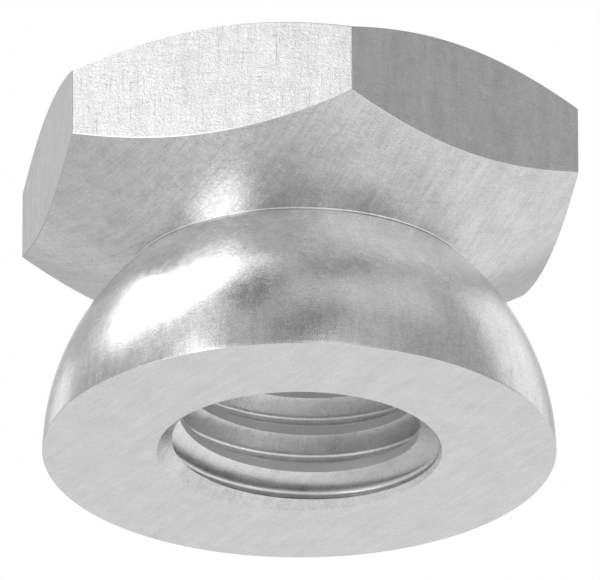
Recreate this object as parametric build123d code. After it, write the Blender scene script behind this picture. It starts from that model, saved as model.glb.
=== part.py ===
"""Shear nut: a hexagon head on a domed, threaded body, joined by a narrow neck that shears.

The frame is in millimetres. The origin is the middle of the flat seat, +Z runs up the bore
to the hexagon, and two of the hexagon's corners lie on X.
"""

from build123d import *
from build123d.topology import SkipClean

import os
from math import asin, ceil, cos, radians, sin, sqrt, tan

# Hexagon head
across_flats = 22.0
corner_edge = 3.0  # height of a corner edge between its two chamfers
chamfer_angle = 30.0  # of both chamfers, from level
top_face_inset = 0.55  # how much narrower than the flats the top face is

# Domed body, as wide at the seat as the hexagon is across its flats
dome_drop = 0.17  # how far under the seat the dome's centre lies
neck_wall = 0.8  # the wall that shears, between the neck and the clearance hole
neck_fillet = 0.15

# Thread, right-hand, on the metric 60 degree form
thread_dia = 12.0
thread_pitch = 1.75
minor_allowance = 0.19  # how much wider than its least size the minor bore is
thread_start = 0.20  # height of a groove's middle where it crosses +X

# Mouth of the thread and clearance hole of the head
mouth_oversize = 0.2  # of the countersink over the thread
relief_clearance = 1.0  # of the clearance hole over the thread
relief_below_neck = 0.25  # how far the clearance hole runs past the neck
drill_point_angle = 30.0  # of the clearance hole's floor, from level

# Tool allowances: these leave no trace on the nut
blank_margin = 1.0
cut_margin = 1.0
groove_overlap = 0.1
sectors = 6  # bore and groove are cut in sixths of a turn, which keeps each face short

# Sizes that follow
slope = tan(radians(chamfer_angle))
flat_r = across_flats / 2
corner_r = flat_r / cos(radians(30))
top_face_r = flat_r - top_face_inset / 2
major_r = thread_dia / 2
minor_r = major_r - thread_pitch * 5 / 8 * cos(radians(30)) + minor_allowance / 2
crest_width = thread_pitch / 4
mouth_r = major_r + mouth_oversize / 2
relief_r = major_r + relief_clearance / 2
dome_r = sqrt(flat_r**2 + dome_drop**2)
neck_r = relief_r + neck_wall
neck_z = sqrt(dome_r**2 - neck_r**2) - dome_drop
corner_low = neck_z + (corner_r - neck_r) * slope
corner_top = corner_low + corner_edge
overall_height = corner_top + (corner_r - top_face_r) * slope
relief_floor = neck_z - relief_below_neck


def turned(points, angle=360.0):
    """A solid turned about Z from corner points given as (radius, height)."""
    outline = Plane.XZ * make_face(Polyline(*points, close=True))
    return revolve(outline, Axis.Z, angle)


def turned_blank():
    """The outside as a lathe leaves it: dome, neck fillet, cone, and top chamfer."""
    outer_r = corner_r + blank_margin
    half_angle = asin((neck_z + dome_drop) / dome_r) / 2 + asin(dome_drop / dome_r) / 2
    middle = (dome_r * cos(half_angle), dome_r * sin(half_angle) - dome_drop)
    dome = ThreePointArc((flat_r, 0), middle, (neck_r, neck_z))
    rest = Polyline(
        (neck_r, neck_z),
        (outer_r, corner_low + blank_margin * slope),
        (outer_r, corner_top - blank_margin * slope),
        (top_face_r, overall_height),
        (0, overall_height),
        (0, 0),
        (flat_r, 0),
    )
    outline = make_face(Curve() + [dome, rest])
    neck = outline.vertices().sort_by_distance((neck_r, neck_z))[0]
    outline = fillet(neck, neck_fillet)
    return revolve(Plane.XZ * outline, Axis.Z)


def flats_cutter():
    """The ring that mills the six flats, from the neck up."""
    hexagon = RegularPolygon(corner_r, 6)
    ring = Circle(corner_r + blank_margin + cut_margin) - hexagon
    return Pos(0, 0, neck_z) * extrude(ring, overall_height - neck_z + cut_margin)


def bore_cutters():
    """The thread's minor bore, one wedge for each sector."""
    step = 360 / sectors
    top = relief_floor + cut_margin
    wedge = turned(((0, -cut_margin), (minor_r, -cut_margin), (minor_r, top), (0, top)), step)
    return [Rot(0, 0, k * step) * wedge for k in range(sectors)]


def relief_cutter():
    """The head's clearance hole, with the floor that a drill point leaves."""
    point = relief_floor - relief_r * tan(radians(drill_point_angle))
    top = overall_height + cut_margin
    return turned(((0, point), (relief_r, relief_floor), (relief_r, top), (0, top)))


def mouth_cutter():
    """The 45 degree countersink where the stud enters."""
    return turned(((0, -cut_margin), (mouth_r + cut_margin, -cut_margin), (0, mouth_r)))


def groove_section():
    """The groove across, on +X: its two 60 degree flanks and its flat root."""
    inner = minor_r - groove_overlap
    inner_half = (thread_pitch - crest_width) / 2 + groove_overlap * tan(radians(30))
    root_half = inner_half - (major_r - inner) * tan(radians(30))
    return make_face(
        Polyline(
            (inner, -inner_half),
            (major_r, -root_half),
            (major_r, root_half),
            (inner, inner_half),
            close=True,
        )
    )


def groove_cutters():
    """The right-hand thread groove, sector by sector, run clear of the nut at both ends."""
    rise = thread_pitch / sectors
    path = Helix(thread_pitch, rise, minor_r)
    piece = sweep(Plane.XZ * groove_section(), path, is_frenet=True)
    low = thread_start - thread_pitch
    count = ceil((relief_floor + thread_pitch - low) / rise)
    return [Pos(0, 0, low + k * rise) * Rot(0, 0, k * 360 / sectors) * piece for k in range(count)]


def shear_nut():
    """The finished nut. Its faces are left unmerged, which keeps the thread in sectors."""
    with SkipClean():
        nut = turned_blank() - flats_cutter()
        for wedge in bore_cutters():
            nut = nut - wedge
        nut = nut - relief_cutter() - mouth_cutter()
        nut = nut.cut(*groove_cutters())
    return nut.solid()


os.makedirs("parts", exist_ok=True)
nut = shear_nut()
nut.label = "shear_nut"
export_step(nut, "parts/shear_nut.step")
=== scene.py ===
"""Shear nut: the steel nut itself, and the floor, light and camera it is shown with."""

from math import asin, ceil, cos, pi, radians, sin, sqrt, tan

import bmesh
import bpy
from bpy.props import FloatProperty, FloatVectorProperty, IntProperty, PointerProperty
from mathutils import Matrix, Vector


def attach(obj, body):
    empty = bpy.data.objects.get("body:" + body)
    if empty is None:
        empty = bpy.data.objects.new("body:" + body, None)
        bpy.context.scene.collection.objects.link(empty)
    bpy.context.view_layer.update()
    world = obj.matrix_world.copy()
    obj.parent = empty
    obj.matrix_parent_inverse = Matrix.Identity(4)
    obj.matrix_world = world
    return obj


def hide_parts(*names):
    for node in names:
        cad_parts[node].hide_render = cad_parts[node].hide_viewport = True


bl_info = {
    "name": "Shear Nut",
    "version": (1, 0, 0),
    "blender": (4, 5, 0),
    "location": "View3D > Sidebar > Shear Nut",
    "description": "Makes a domed shear nut with its thread, its steel and a plain stage",
    "category": "Object",
}

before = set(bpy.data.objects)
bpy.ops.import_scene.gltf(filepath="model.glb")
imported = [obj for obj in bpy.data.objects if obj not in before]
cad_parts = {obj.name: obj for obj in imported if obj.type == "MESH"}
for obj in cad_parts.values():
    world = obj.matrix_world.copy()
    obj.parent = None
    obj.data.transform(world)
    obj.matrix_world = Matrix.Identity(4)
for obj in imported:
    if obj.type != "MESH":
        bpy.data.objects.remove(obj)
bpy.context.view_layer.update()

MM = 0.001
HAIR = 0.001 * MM  # less than any step in the nut's shape

# Steels in the order of CUTS
TURNED, MILLED, FACED, SUNK, BORED, TAPPED, ROOTED, BROKEN = range(8)

# Angles that no size changes
HEX_HALF = radians(30)  # from the middle of a flat to its corner
FLANK = radians(30)  # slope of a thread's flank, from level
ROOT_SWEEP = radians(120)  # of the round root, from one flank to the other
DRILL_POINT = radians(30)  # slope of the clearance hole's floor, from level

# Steps in the outlines' arcs
DOME_STEPS, ROOT_STEPS, NECK_STEPS, SEAT_STEPS, EDGE_STEPS = 48, 8, 6, 4, 3

# Allowances of the tools, which leave no trace on the nut
BLANK_SPARE = 0.4 * MM  # how far the blank stands out over the hexagon's corners
MILL_CLEARANCE = 0.2 * MM  # how far over the neck the mill stays
MILL_SLACK = 1e-8  # how near the cut a vertex counts as on it
GROOVE_OVERLAP = 0.15 * MM  # how far the groove's tool reaches into the bore


def length(name, description, millimetres):
    """A size that a user would change, in metres."""
    return FloatProperty(
        name=name, description=description, default=millimetres * MM, unit="LENGTH", precision=5
    )


class NutSizes(bpy.types.PropertyGroup):
    """The sizes of the nut."""

    across_flats: length("Across flats", "Width of the hexagon between two flats", 22.0)
    corner_edge: length("Corner edge", "Height of a corner edge between its chamfers", 3.0)
    top_inset: length("Top face inset", "How much narrower than the flats the top face is", 0.55)
    chamfer_angle: FloatProperty(
        name="Chamfer angle",
        description="Slope of both chamfers, from level",
        default=radians(30),
        subtype="ANGLE",
    )
    dome_drop: length("Dome drop", "How far under the seat the dome's centre lies", 0.17)
    neck_wall: length("Neck wall", "Wall between the neck and the clearance hole", 0.8)
    neck_fillet: length("Neck fillet", "Radius in the neck's corner", 0.07)
    thread: length("Thread", "Outside diameter of the thread", 12.0)
    pitch: length("Pitch", "Pitch of the thread", 1.75)
    minor_allowance: length("Minor allowance", "How much over its least size the bore is", 0.19)
    thread_start: length("Thread start", "Height of the groove's middle where it crosses X", 0.18)
    groove_excess: length("Groove excess", "How much over its least width the groove is", 0.044)
    root_round: length("Root round", "Radius of the groove's root", 0.225)
    mouth_oversize: length("Mouth oversize", "Width of the countersink over the thread", 0.2)
    relief_clearance: length("Relief clearance", "Width of the clearance hole over the thread", 1.0)
    relief_below_neck: length("Relief depth", "How far the clearance hole runs past the neck", 0.25)
    edge_break: length("Edge break", "Rounding of the hexagon's edges", 0.035)
    seat_break: length("Seat edge break", "Rounding of the seat's outer edge", 0.02)
    turn_steps: IntProperty(
        name="Steps in a turn",
        description="How many steps make a full turn of the outside",
        default=288,
        min=48,
    )
    groove_steps: IntProperty(
        name="Groove steps",
        description="How many steps make one turn of the thread",
        default=144,
        min=24,
    )


class SteelFinish(bpy.types.PropertyGroup):
    """The colour and surface of the steel."""

    colour: FloatVectorProperty(
        name="Steel",
        description="Colour of the bare steel",
        default=(0.6, 0.6, 0.6),
        size=3,
        subtype="COLOR",
        min=0,
        max=1,
    )
    roughness: FloatProperty(
        name="Roughness",
        description="Roughness of the turned surfaces",
        default=0.25,
        subtype="FACTOR",
        min=0,
        max=1,
    )
    depth: FloatProperty(
        name="Scratch depth",
        description="Depth of the finest scratches",
        default=4e-6,
        unit="LENGTH",
        precision=7,
        min=0,
    )


class StageLook(bpy.types.PropertyGroup):
    """The floor, the light and the camera."""

    floor_colour: FloatVectorProperty(
        name="Floor",
        description="Colour of the floor",
        default=(0.9, 0.9, 0.9),
        size=3,
        subtype="COLOR",
        min=0,
        max=1,
    )
    floor_radius: length("Floor radius", "Radius of the floor", 1000)
    floor_gap: length("Floor gap", "How far the floor lies under the seat", 0.05)
    tent_colour: FloatVectorProperty(
        name="Tent",
        description="Brightness of the tent's cloth",
        default=(0.58, 0.58, 0.58),
        size=3,
        subtype="COLOR",
        min=0,
        max=1,
    )
    tent_radius: length("Tent radius", "Radius of the tent", 900)
    tent_rim: FloatProperty(
        name="Tent rim",
        description="Height of the tent's rim over the horizon",
        default=radians(-4.8),
        subtype="ANGLE",
    )
    turn: FloatProperty(
        name="Camera turn",
        description="Angle of the camera round the nut from the front",
        default=radians(19.77),
        subtype="ANGLE",
    )
    tilt: FloatProperty(
        name="Camera tilt",
        description="Angle of the camera over the horizon",
        default=radians(-24.96),
        subtype="ANGLE",
    )
    aim_up: length("Aim up", "How far up the picture the camera aims from the seat", 6.908)
    aim_side: length("Aim aside", "How far to the right the camera aims from the axis", 0.028)
    view_width: length("View width", "Width of the picture at the nut", 25.658)
    lens: FloatProperty(
        name="Lens",
        description="Focal length of the camera",
        default=1500,
        subtype="DISTANCE_CAMERA",
    )


def plan(s):
    """The sizes that follow from the nut's own."""
    p = {"slope": tan(s.chamfer_angle)}
    p["flat_r"] = s.across_flats / 2
    p["corner_r"] = p["flat_r"] / cos(HEX_HALF)
    p["top_r"] = p["flat_r"] - s.top_inset / 2
    p["major_r"] = s.thread / 2
    p["minor_r"] = p["major_r"] - s.pitch * 5 / 8 * cos(FLANK) + s.minor_allowance / 2
    p["mouth_r"] = p["major_r"] + s.mouth_oversize / 2
    p["relief_r"] = p["major_r"] + s.relief_clearance / 2
    p["dome_r"] = sqrt(p["flat_r"] ** 2 + s.dome_drop**2)
    p["neck_r"] = p["relief_r"] + s.neck_wall
    p["neck_z"] = sqrt(p["dome_r"] ** 2 - p["neck_r"] ** 2) - s.dome_drop
    p["corner_low"] = p["neck_z"] + (p["corner_r"] - p["neck_r"]) * p["slope"]
    p["corner_top"] = p["corner_low"] + s.corner_edge
    p["height"] = p["corner_top"] + (p["corner_r"] - p["top_r"]) * p["slope"]
    p["relief_z"] = p["neck_z"] - s.relief_below_neck
    p["blank_r"] = p["corner_r"] + BLANK_SPARE
    return p


def run_on(bm, vert, corners):
    """Runs an outline on from a vertex through corners given as (radius, height)."""
    for radius, height in corners:
        vert = bmesh.ops.extrude_vert_indiv(bm, verts=[vert])["verts"][0]
        vert.co = (radius, 0, height)
    return vert


def arc_on(bm, vert, centre, angle, steps):
    """Runs an outline on round a centre given as (radius, height), +X turning to +Z."""
    turned = bmesh.ops.spin(
        bm,
        geom=[vert],
        cent=(centre[0], 0, centre[1]),
        axis=(0, -1, 0),
        angle=angle,
        steps=steps,
    )
    return next(g for g in turned["geom_last"] if isinstance(g, bmesh.types.BMVert))


def round_corner(bm, corner, offset, segments):
    """Rounds a corner of an outline."""
    bmesh.ops.bevel(
        bm,
        geom=[corner],
        offset=offset,
        segments=segments,
        profile=0.5,
        affect="VERTICES",
        material=-1,
    )


def turned_blank(bm, s, p):
    """Turns the whole blank, bores and all, from one closed outline."""
    foot = bm.verts.new((p["flat_r"], 0, 0))
    lean = asin((p["neck_z"] + s.dome_drop) / p["dome_r"])
    sweep = lean - asin(s.dome_drop / p["dome_r"])
    neck = arc_on(bm, foot, (0, -s.dome_drop), sweep, DOME_STEPS)
    neck.co = (p["neck_r"], 0, p["neck_z"])
    spare_rise = (p["blank_r"] - p["corner_r"]) * p["slope"]
    minor_floor = p["relief_z"] - (p["relief_r"] - p["minor_r"]) * tan(DRILL_POINT)
    last = run_on(
        bm,
        neck,
        [
            (p["blank_r"], p["corner_low"] + spare_rise),
            (p["blank_r"], p["corner_top"] - spare_rise),
            (p["top_r"], p["height"]),
            (p["relief_r"], p["height"]),
            (p["relief_r"], p["relief_z"]),
            (p["minor_r"], minor_floor),
            (p["minor_r"], p["mouth_r"] - p["minor_r"]),
            (p["mouth_r"], 0),
        ],
    )
    bm.edges.new((last, foot))
    neck_bend = pi / 2 + lean - s.chamfer_angle
    round_corner(bm, neck, s.neck_fillet * tan(neck_bend / 2), NECK_STEPS)
    round_corner(bm, foot, s.seat_break, SEAT_STEPS)
    for corner in [v for v in bm.verts if v.co.z > p["height"] - HAIR]:
        round_corner(bm, corner, s.edge_break, EDGE_STEPS)
    bmesh.ops.spin(
        bm,
        geom=bm.verts[:] + bm.edges[:],
        cent=(0, 0, 0),
        axis=(0, 0, 1),
        angle=2 * pi,
        steps=s.turn_steps,
        use_merge=True,
    )
    bmesh.ops.remove_doubles(bm, verts=bm.verts, dist=HAIR)
    bmesh.ops.recalc_face_normals(bm, faces=bm.faces)


def mill_flats(bm, s, p):
    """Cuts the six flats, one after the other, and closes each with its face."""
    head_foot = p["neck_z"] + MILL_CLEARANCE
    for k in range(6):
        turn = radians(30 + 60 * k)
        out = Vector((cos(turn), sin(turn), 0))
        faces = [f for f in bm.faces if f.calc_center_median().z > head_foot]
        edges = dict.fromkeys(e for f in faces for e in f.edges)
        verts = dict.fromkeys(v for f in faces for v in f.verts)
        cut = bmesh.ops.bisect_plane(
            bm,
            geom=[*verts, *edges, *faces],
            dist=MILL_SLACK,
            plane_co=out * p["flat_r"],
            plane_no=out,
            clear_outer=True,
        )
        rim = [g for g in cut["geom_cut"] if isinstance(g, bmesh.types.BMEdge)]
        made = bmesh.ops.contextual_create(bm, geom=rim)
        for face in made["faces"]:
            face.material_index = MILLED
    bmesh.ops.recalc_face_normals(bm, faces=bm.faces)


def break_flat_edges(bm, s):
    """Takes the sharpness off every edge of the six flats."""
    rims = [e for e in bm.edges if any(f.material_index == MILLED for f in e.link_faces)]
    broken = bmesh.ops.bevel(
        bm,
        geom=rims,
        offset=s.edge_break,
        offset_type="OFFSET",
        segments=EDGE_STEPS,
        profile=0.5,
        affect="EDGES",
        material=-1,
    )
    # The broken edges get edge steel, painted darker than the flats to dim their highlight
    for face in broken["faces"]:
        face.material_index = BROKEN


def new_piece(name, bm, materials):
    """An object made of a bmesh, at the origin."""
    mesh = bpy.data.meshes.new(name)
    bm.to_mesh(mesh)
    bm.free()
    for material in materials:
        mesh.materials.append(material)
    piece = bpy.data.objects.new(name, mesh)
    bpy.context.scene.collection.objects.link(piece)
    return piece


def groove_tool(s, p, materials):
    """The thread's groove as a solid, turned up the bore, with a rounded root."""
    bm = bmesh.new()
    inner = p["minor_r"] - GROOVE_OVERLAP
    half = s.pitch * 3 / 8 + s.groove_excess / 2
    inner_half = half + GROOVE_OVERLAP * tan(FLANK)
    root_centre = p["minor_r"] + half / tan(FLANK) - s.root_round / sin(FLANK)
    root_start = root_centre + s.root_round * sin(FLANK)
    low = s.thread_start - s.pitch
    turns = ceil((p["relief_z"] + s.pitch - low) / s.pitch)
    first = bm.verts.new((inner, 0, low - inner_half))
    lower = run_on(bm, first, [(root_start, low - s.root_round * cos(FLANK))])
    upper = arc_on(bm, lower, (root_centre, low), ROOT_SWEEP, ROOT_STEPS)
    last = run_on(bm, upper, [(inner, low + inner_half)])
    bm.edges.new((last, first))
    bmesh.ops.contextual_create(bm, geom=bm.edges[:])
    steps = turns * s.groove_steps
    bmesh.ops.spin(
        bm,
        geom=bm.verts[:] + bm.edges[:] + bm.faces[:],
        cent=(0, 0, 0),
        axis=(0, 0, 1),
        dvec=(0, 0, turns * s.pitch / steps),
        angle=2 * pi * turns,
        steps=steps,
    )
    bmesh.ops.recalc_face_normals(bm, faces=bm.faces)
    # The root's faces get root steel: painted shade, darker than the flanks, to dim the highlight
    # that the root mirrors
    for face in bm.faces:
        in_root = face.calc_center_median().xy.length > root_start
        face.material_index = ROOTED if in_root else TAPPED
    return new_piece("groove_tool", bm, materials)


def cut_away(piece, tool):
    """Takes a tool's solid out of a piece, and removes the tool."""
    cut = piece.modifiers.new("Cut", "BOOLEAN")
    cut.operation = "DIFFERENCE"
    cut.solver = "MANIFOLD"
    cut.object = tool
    graph = bpy.context.evaluated_depsgraph_get()
    mesh = bpy.data.meshes.new_from_object(piece.evaluated_get(graph))
    piece.modifiers.clear()
    old = piece.data
    piece.data = mesh
    mesh.name = piece.name
    bpy.data.meshes.remove(old)
    tool_mesh = tool.data
    bpy.data.objects.remove(tool)
    bpy.data.meshes.remove(tool_mesh)


# What the marks on the steel are made of
NOISE_ROUGHNESS = 0.6
HAIRLINE = (0.62, 0.78)  # the part of the noise over which a scratch fades in
LYING = (0.5, 0.75)  # how level a face is where its marks turn from a wall's to the rest's
PATCHES = (0.25, 0.75)  # the part of the noise over which patches get rougher
ROUGH_SWING = 0.03  # how much rougher or smoother than the rest patches are
PAINTED_LIGHT_HEIGHTS = (1.2 * MM, 2.8 * MM)  # heights between which the bore's painted light goes over to its deep value

# How much the streaks, bands and scratches count in the surface's height and in its tone
HEIGHT = {"hatch": 0.5, "scratch": -0.5}
TONE = {"hatch": 0.8, "band": 0.5, "scratch": -0.35}


def put(tree, socket, value):
    """Writes a value into a socket, or links another socket to it."""
    if isinstance(value, bpy.types.NodeSocket):
        tree.links.new(value, socket)
    else:
        socket.default_value = value


def add_node(tree, kind, **inputs):
    """A node with its inputs set, each under its name."""
    node = tree.nodes.new(kind)
    for key, value in inputs.items():
        put(tree, node.inputs[key.replace("_", " ")], value)
    return node


def reckon(tree, operation, *values):
    """The outcome of an operation on sockets and numbers."""
    node = tree.nodes.new("ShaderNodeMath")
    node.operation = operation
    for socket, value in zip(node.inputs, values):
        put(tree, socket, value)
    return node.outputs[0]


def weighted(tree, parts):
    """Adds up sockets, each less its middle value of a half and times its weight."""
    total = 0
    for socket, weight in parts:
        total = reckon(tree, "MULTIPLY_ADD", socket, weight, total)
    return reckon(tree, "SUBTRACT", total, 0.5 * sum(weight for _, weight in parts))


def add_up(tree, one, other, weight=1.0):
    """One socket plus another times its weight."""
    return reckon(tree, "MULTIPLY_ADD", other, weight, one)


def spread(tree, socket, low, high, to_low, to_high, clamp=True):
    """Spreads a socket's range out over another range."""
    ends = {"From_Min": low, "From_Max": high, "To_Min": to_low, "To_Max": to_high}
    node = add_node(tree, "ShaderNodeMapRange", Value=socket, **ends)
    node.clamp = clamp
    return node.outputs["Result"]


def blend(tree, factor, one, other):
    """One socket where the factor is 0, the other where it is 1."""
    mix = tree.nodes.new("ShaderNodeMix")
    for value, socket in zip((factor, one, other), mix.inputs[0:1] + mix.inputs[2:4]):
        tree.links.new(value, socket)
    return mix.outputs[0]


def marks(tree, place, size, turn=0.0, lean=0.0, detail=2.0, seed=0.0):
    """Noise whose marks have a size along each axis, in millimetres, leant and turned about Z."""
    mapping = tree.nodes.new("ShaderNodeMapping")
    mapping.vector_type = "TEXTURE"
    mapping.inputs["Location"].default_value = (seed * MM, 0, 0)
    mapping.inputs["Rotation"].default_value = (radians(lean), radians(lean), radians(turn))
    mapping.inputs["Scale"].default_value = [mm * MM for mm in size]
    tree.links.new(place, mapping.inputs["Vector"])
    noise = add_node(tree, "ShaderNodeTexNoise", Vector=mapping.outputs[0], Scale=1.0)
    noise.inputs["Detail"].default_value = detail
    noise.inputs["Roughness"].default_value = NOISE_ROUGHNESS
    return noise.outputs["Fac"]


def hairlines(tree, *args, **kwargs):
    """Only the strongest of the marks: sparse thin lines, 1 in their middle and 0 beside them."""
    return spread(tree, marks(tree, *args, **kwargs), *HAIRLINE, 0, 1)


def hatching(tree, place, lying):
    """Fine streaks: upright and level ones on walls, slanting both ways on the rest."""
    upright = marks(tree, place, (0.07, 0.07, 0.7), lean=5, detail=3, seed=1)
    level = marks(tree, place, (0.6, 0.6, 0.07), lean=-7, detail=3, seed=2)
    slant = marks(tree, place, (1.3, 0.08, 5), turn=-37, detail=3, seed=4)
    cross = marks(tree, place, (0.9, 0.08, 5), turn=52, detail=3, seed=5)
    wall = weighted(tree, [(upright, 0.7), (level, 0.6)])
    rest = weighted(tree, [(slant, 0.8), (cross, 0.5)])
    return blend(tree, lying, wall, rest)


def banding(tree, place, lying):
    """Broad faint bands along the streaks."""
    wall = marks(tree, place, (0.5, 0.5, 5), detail=2, seed=6)
    rest = marks(tree, place, (3, 0.4, 5), turn=-37, detail=2, seed=8)
    return blend(tree, lying, weighted(tree, [(wall, 1)]), weighted(tree, [(rest, 1)]))


def scratch_lines(tree, place, lying):
    """Sparse long scratches, which lie as the streaks do."""
    upright = hairlines(tree, place, (0.05, 0.05, 1.8), detail=1, seed=11)
    level = hairlines(tree, place, (1.2, 1.2, 0.05), lean=8, detail=1, seed=12)
    slant = hairlines(tree, place, (1.8, 0.06, 5), turn=-40, detail=1, seed=13)
    cross = hairlines(tree, place, (1.2, 0.06, 5), turn=48, detail=1, seed=14)
    return blend(tree, lying, add_up(tree, upright, level), add_up(tree, slant, cross))


def steel(name, finish, cut):
    """Scratched and clouded steel, as one of the cuts leaves it, with painted light up the bore
    where the cut sets it.
    """
    material = bpy.data.materials.new(name)
    material.use_nodes = True
    tree = material.node_tree
    shader = tree.nodes["Principled BSDF"]
    shader.inputs["Metallic"].default_value = 1
    coordinates = tree.nodes.new("ShaderNodeTexCoord")
    place = coordinates.outputs["Object"]
    face_way = add_node(tree, "ShaderNodeSeparateXYZ", Vector=coordinates.outputs["Normal"])
    lying = spread(tree, reckon(tree, "ABSOLUTE", face_way.outputs["Z"]), *LYING, 0, 1)

    cloud = marks(tree, place, (1.6, 1.6, 1.6), detail=4, seed=3)
    patch = marks(tree, place, (0.4, 0.4, 0.4), detail=3, seed=7)
    pebble = marks(tree, place, (0.12, 0.12, 0.08), detail=2, seed=9)
    grain = marks(tree, place, (0.05, 0.05, 0.05), detail=1)
    hatch = hatching(tree, place, lying)
    band = banding(tree, place, lying)
    scratch = scratch_lines(tree, place, lying)

    height = weighted(tree, [(pebble, 1.1), (grain, 0.9)])
    height = add_up(tree, height, scratch, HEIGHT["scratch"] * cut["scratch"])
    height = add_up(tree, height, hatch, HEIGHT["hatch"] * cut["hatch"])
    bump = add_node(tree, "ShaderNodeBump", Height=height, Strength=1)
    bump.inputs["Distance"].default_value = cut["depth"] * finish.depth
    tree.links.new(bump.outputs["Normal"], shader.inputs["Normal"])

    tone = weighted(tree, [(cloud, 0.6), (patch, 0.45), (pebble, 0.7), (grain, 0.8)])
    tone = add_up(tree, tone, hatch, TONE["hatch"] * cut["hatch"])
    tone = add_up(tree, tone, band, TONE["band"])
    tone = add_up(tree, tone, scratch, TONE["scratch"] * cut["scratch"])
    shade = spread(tree, tone, -1, 1, 1 - cut["cloud"], 1 + cut["cloud"], clamp=False)
    # Painted light in the bore: with height, the colour goes from the cut's shade to its deep
    # painted light, lighter up the thread in place of light that the bore keeps out
    if "deep_painted_light" in cut:
        spot = add_node(tree, "ShaderNodeSeparateXYZ", Vector=place)
        bore_painted_light = spread(tree, spot.outputs["Z"], *PAINTED_LIGHT_HEIGHTS, cut["shade"], cut["deep_painted_light"])
        shade = reckon(tree, "MULTIPLY", shade, bore_painted_light)
        base = finish.colour
    else:
        base = [c * cut["shade"] for c in finish.colour]
    colour = tree.nodes.new("ShaderNodeVectorMath")
    colour.operation = "SCALE"
    colour.inputs[0].default_value = base
    tree.links.new(shade, colour.inputs["Scale"])
    tree.links.new(colour.outputs[0], shader.inputs["Base Color"])

    mid = finish.roughness * cut["dull"]
    rough = spread(tree, patch, *PATCHES, mid - ROUGH_SWING, mid + ROUGH_SWING)
    tree.links.new(rough, shader.inputs["Roughness"])
    return material


# How each cut looks: how light its steel is, how dull, how strong its clouds, streaks and
# scratches are, and how deep all the marks are. Deep painted light is painted light in the bore:
# it is the shade that the steel of the bore goes over to further in. It is lighter up the tapped
# flanks and the root, in place of light that the bore's depth keeps out, and a little darker up
# the bored crest. Root steel is painted shade: darker than the tapped steel, to dim the highlight
# that the root mirrors. Edge steel is painted shade as well: darker than the flats, to dim the
# highlight on the edge breaks.
CUTS = {
    "Turned steel": dict(shade=1, dull=1, cloud=0.52, hatch=0.9, scratch=0.75, depth=0.8),
    "Milled steel": dict(shade=1.015, dull=1, cloud=0.42, hatch=0.45, scratch=1.0, depth=1.05),
    "Faced steel": dict(shade=0.985, dull=1, cloud=0.35, hatch=0.7, scratch=0.5, depth=0.7),
    "Sunk steel": dict(shade=0.93, dull=1, cloud=0.6, hatch=0.5, scratch=0.3, depth=1.6),
    "Bored steel": dict(
        shade=1.05, deep_painted_light=1, dull=2.2, cloud=0.08, hatch=0.3, scratch=0, depth=0.2
    ),
    "Tapped steel": dict(
        shade=1.02, deep_painted_light=1.6, dull=1.15, cloud=0.5, hatch=0.5, scratch=0, depth=0.7
    ),
    # Root steel: painted shade, darker than the tapped steel, to dim the root's mirrored highlight
    "Root steel": dict(
        shade=0.95, deep_painted_light=1.25, dull=1.5, cloud=0.4, hatch=0.5, scratch=0, depth=0.5
    ),
    # Edge steel: painted shade, darker than the flats, to dim the edge breaks' highlight
    "Edge steel": dict(shade=0.87, dull=1, cloud=0.15, hatch=0.5, scratch=0, depth=0.3),
}

LEVEL = 0.999  # a face counts as level if its normal is as upright as this
BORE_SLACK = 0.01 * MM  # how far outside the clearance hole a face still counts as bored
SHARP = radians(25)  # a bend from which an edge stays sharp


def sort_cuts(bm, p):
    """Gives the faces that weren't milled or broken the steel of their cut."""
    sunk_top = p["mouth_r"] - p["minor_r"] - HAIR
    for face in bm.faces:
        if face.material_index in (MILLED, BROKEN):
            continue
        centre = face.calc_center_median()
        radius = centre.xy.length
        if abs(face.normal.z) > LEVEL:
            face.material_index = FACED
        elif radius < p["mouth_r"] and centre.z < sunk_top:
            face.material_index = SUNK
        elif radius < p["relief_r"] + BORE_SLACK:
            face.material_index = BORED
        else:
            face.material_index = TURNED


def shade_smooth(piece):
    """Shades faces smooth, with the edges between different cuts left sharp."""
    bm = bmesh.new()
    bm.from_mesh(piece.data)
    for face in bm.faces:
        face.smooth = True
    for edge in bm.edges:
        if len(edge.link_faces) != 2:
            raise RuntimeError("the nut is not closed")
        one, other = edge.link_faces
        same = one.material_index == other.material_index
        edge.smooth = same and edge.calc_face_angle() < SHARP
    bm.to_mesh(piece.data)
    bm.free()


class NUT_OT_shear_nut(bpy.types.Operator):
    """Makes the nut: hexagon head, domed body, neck and thread"""

    bl_idname = "nut.shear_nut"
    bl_label = "Shear Nut"

    def execute(self, context):
        s = context.scene.nut_sizes
        finish = context.scene.nut_finish
        p = plan(s)
        materials = [steel(name, finish, cut) for name, cut in CUTS.items()]
        bm = bmesh.new()
        turned_blank(bm, s, p)
        mill_flats(bm, s, p)
        break_flat_edges(bm, s)
        sort_cuts(bm, p)
        nut = new_piece("nut", bm, materials)
        cut_away(nut, groove_tool(s, p, materials))
        shade_smooth(nut)
        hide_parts("shear_nut")
        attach(nut, "root")
        return {"FINISHED"}


# Lamps and cards stand inside the tent, at these distances from the nut in metres.
LAMP_DISTANCE = 0.7
CARD_DISTANCE = 0.8

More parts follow.
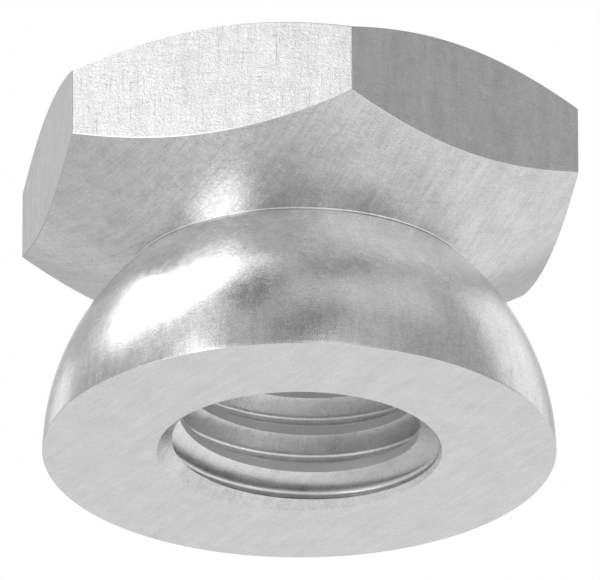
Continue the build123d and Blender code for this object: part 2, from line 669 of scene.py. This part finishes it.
# Soft lamps round the nut. Each has its turn from the front and its height over the horizon,
# its width and height as seen from the nut, its roll, all in degrees, and its brightness,
# where 1 is white.
LAMPS = {
    "Key": (-78, 53, 28, 26, 45, 2.6),
    "Key top": (-61, 60, 25, 26, 65, 2.6),
    "Key side": (-33, 75, 17, 13, -40, 0.9),
    "Key foot": (-75, 40, 50, 11, -5, 0.35),
    "Front": (-33, -4, 38, 23, -20, 3.2),
    "Front top": (-23, 20, 12, 24, 45, 1.85),
    "Front high": (-29, 40, 14, 23, -15, 0.5),
    "Side": (-118, 25, 18, 14, 0, 0.8),
    "Back": (147, 33, 37, 27, -15, 0.65),
    "Behind": (-162, 36, 20, 26, 10, 1.0),
    "Over": (63, 55, 50, 18, -5, 0.3),
    "Fill": (75, -27, 78, 32, 25, 0.55),
    "Low back": (135, -15, 42, 16, 5, 0.4),
    "Right": (37, 14, 18, 28, 35, 0.8),
}

# Grey cards inside the tent, placed in the same way, each with the brightness of its cloth.
CARDS = {
    "Front card": (-13, 55, 20, 15, 5, 0.1),
    "Right card": (23, 38, 35, 10, 35, 0.15),
    "Top card": (54, 67, 21, 12, 0, 0.25),
    "Far card": (94, 26, 36, 44, 5, 0.5),
    "Low card": (-129, -40, 44, 62, 0, 0.7),
}


def facing(turn, tilt):
    """The direction from the nut at a turn from the front and a tilt over the horizon."""
    return Vector((sin(turn) * cos(tilt), -cos(turn) * cos(tilt), sin(tilt)))


def stand(turn, tilt, roll, distance):
    """The place and turn of a lamp or card that faces the nut."""
    way = facing(radians(turn), radians(tilt))
    place = way.to_track_quat("Z", "Y").to_matrix().to_4x4()
    place = place @ Matrix.Rotation(radians(roll), 4, "Z")
    place.translation = way * distance
    return place


def soft_lamp(name, turn, tilt, width, height, roll, brightness):
    """A soft lamp that faces the nut and doesn't show in the picture."""
    data = bpy.data.lights.new(name, "AREA")
    data.shape = "RECTANGLE"
    data.size = 2 * LAMP_DISTANCE * tan(radians(width) / 2)
    data.size_y = 2 * LAMP_DISTANCE * tan(radians(height) / 2)
    data.energy = brightness * pi * data.size * data.size_y
    lamp = bpy.data.objects.new(name, data)
    bpy.context.scene.collection.objects.link(lamp)
    lamp.matrix_world = stand(turn, tilt, roll, LAMP_DISTANCE)
    lamp.visible_camera = False


def grey_card(name, turn, tilt, width, height, roll, brightness):
    """A grey card that the nut mirrors and that doesn't show in the picture."""
    bm = bmesh.new()
    bmesh.ops.create_grid(bm, x_segments=1, y_segments=1, size=CARD_DISTANCE)
    size = (tan(radians(width) / 2), tan(radians(height) / 2), 1)
    bmesh.ops.scale(bm, vec=size, verts=bm.verts)
    bmesh.ops.transform(bm, matrix=stand(turn, tilt, roll, CARD_DISTANCE), verts=bm.verts)
    card = stage_piece(name, bm, glow(name, (brightness,) * 3))
    card.visible_camera = False


def pale_world():
    """A plain white room beyond the tent."""
    world = bpy.data.worlds.new("White room")
    bpy.context.scene.world = world
    world.use_nodes = True
    shader = world.node_tree.nodes["Background"]
    shader.inputs["Color"].default_value = (1, 1, 1, 1)
    shader.inputs["Strength"].default_value = 1


def stage_piece(name, bm, material):
    """A piece of the stage made of a bmesh."""
    piece = new_piece(name, bm, [material])
    return piece


def glow(name, colour):
    """An even glow, as lit cloth gives."""
    material = bpy.data.materials.new(name)
    material.use_nodes = True
    nodes, links = material.node_tree.nodes, material.node_tree.links
    nodes.clear()
    light = nodes.new("ShaderNodeEmission")
    light.inputs["Color"].default_value = (*colour, 1)
    out = nodes.new("ShaderNodeOutputMaterial")
    links.new(light.outputs["Emission"], out.inputs["Surface"])
    return material


def tent(look):
    """A grey tent over the nut, open to the white room from a little under the horizon."""
    bm = bmesh.new()
    bmesh.ops.create_uvsphere(bm, u_segments=64, v_segments=48, radius=look.tent_radius)
    bmesh.ops.bisect_plane(
        bm,
        geom=bm.verts[:] + bm.edges[:] + bm.faces[:],
        dist=HAIR,
        plane_co=(0, 0, look.tent_radius * sin(look.tent_rim)),
        plane_no=(0, 0, -1),
        clear_outer=True,
    )
    piece = stage_piece("Tent", bm, glow("Tent", look.tent_colour))
    piece.visible_camera = False


def floor_paint(look):
    """Pale paint that shows only to a camera over the floor, and takes the nut's shadow."""
    material = bpy.data.materials.new("Floor")
    material.use_nodes = True
    nodes, links = material.node_tree.nodes, material.node_tree.links
    nodes.clear()
    paint = nodes.new("ShaderNodeBsdfDiffuse")
    paint.inputs["Color"].default_value = (*look.floor_colour, 1)
    clear = nodes.new("ShaderNodeBsdfTransparent")
    path = nodes.new("ShaderNodeLightPath")
    side = nodes.new("ShaderNodeNewGeometry")
    seen = nodes.new("ShaderNodeMath")
    seen.operation = "SUBTRACT"
    seen.use_clamp = True
    links.new(path.outputs["Is Camera Ray"], seen.inputs[0])
    links.new(side.outputs["Backfacing"], seen.inputs[1])
    mix = nodes.new("ShaderNodeMixShader")
    links.new(seen.outputs[0], mix.inputs["Fac"])
    links.new(clear.outputs[0], mix.inputs[1])
    links.new(paint.outputs[0], mix.inputs[2])
    out = nodes.new("ShaderNodeOutputMaterial")
    links.new(mix.outputs[0], out.inputs["Surface"])
    return material


def floor(look):
    """The floor that the nut stands on."""
    bm = bmesh.new()
    level = Matrix.Translation((0, 0, -look.floor_gap))
    bmesh.ops.create_circle(
        bm, cap_ends=True, segments=96, radius=look.floor_radius, matrix=level
    )
    stage_piece("Floor", bm, floor_paint(look))


def set_camera(look):
    """The camera, looking up at the seat and the thread."""
    data = bpy.data.cameras.new("Camera")
    camera = bpy.data.objects.new("Camera", data)
    bpy.context.scene.collection.objects.link(camera)
    data.lens = look.lens
    data.sensor_width = 36
    back = facing(look.turn, look.tilt)
    camera.rotation_mode = "QUATERNION"
    camera.rotation_quaternion = (-back).to_track_quat("-Z", "Y")
    up = camera.rotation_quaternion @ Vector((0, 1, 0))
    right = camera.rotation_quaternion @ Vector((1, 0, 0))
    distance = look.view_width * look.lens / data.sensor_width
    camera.location = up * look.aim_up + right * look.aim_side + back * distance
    data.clip_start, data.clip_end = 0.01, 10
    bpy.context.scene.camera = camera


class NUT_OT_stage(bpy.types.Operator):
    """Makes the floor, the light and the camera"""

    bl_idname = "nut.stage"
    bl_label = "Stage"

    def execute(self, context):
        look = context.scene.nut_stage
        pale_world()
        tent(look)
        for name, lamp in LAMPS.items():
            soft_lamp(name, *lamp)
        for name, card in CARDS.items():
            grey_card(name, *card)
        floor(look)
        set_camera(look)
        context.scene.view_settings.view_transform = "Standard"
        return {"FINISHED"}


class NUT_PT_panel(bpy.types.Panel):
    """The nut's pieces and sizes"""

    bl_idname = "NUT_PT_panel"
    bl_label = "Shear Nut"
    bl_space_type = "VIEW_3D"
    bl_region_type = "UI"
    bl_category = "Shear Nut"

    def draw(self, context):
        layout = self.layout
        for group in ("nut_sizes", "nut_finish", "nut_stage"):
            column = layout.column()
            settings = getattr(context.scene, group)
            for name in settings.__annotations__:
                column.prop(settings, name)
        for operator in OPERATORS:
            layout.operator(operator.bl_idname)


GROUPS = {"nut_sizes": NutSizes, "nut_finish": SteelFinish, "nut_stage": StageLook}
OPERATORS = (NUT_OT_shear_nut, NUT_OT_stage)


def register():
    for cls in (*GROUPS.values(), *OPERATORS, NUT_PT_panel):
        bpy.utils.register_class(cls)
    for name, group in GROUPS.items():
        setattr(bpy.types.Scene, name, PointerProperty(type=group))


def unregister():
    for name in GROUPS:
        delattr(bpy.types.Scene, name)
    for cls in reversed((*GROUPS.values(), *OPERATORS, NUT_PT_panel)):
        bpy.utils.unregister_class(cls)


def main():
    """Makes everything in order."""
    register()
    bpy.ops.nut.shear_nut()
    bpy.ops.nut.stage()
    bpy.context.view_layer.update()


if __name__ == "__main__":
    main()
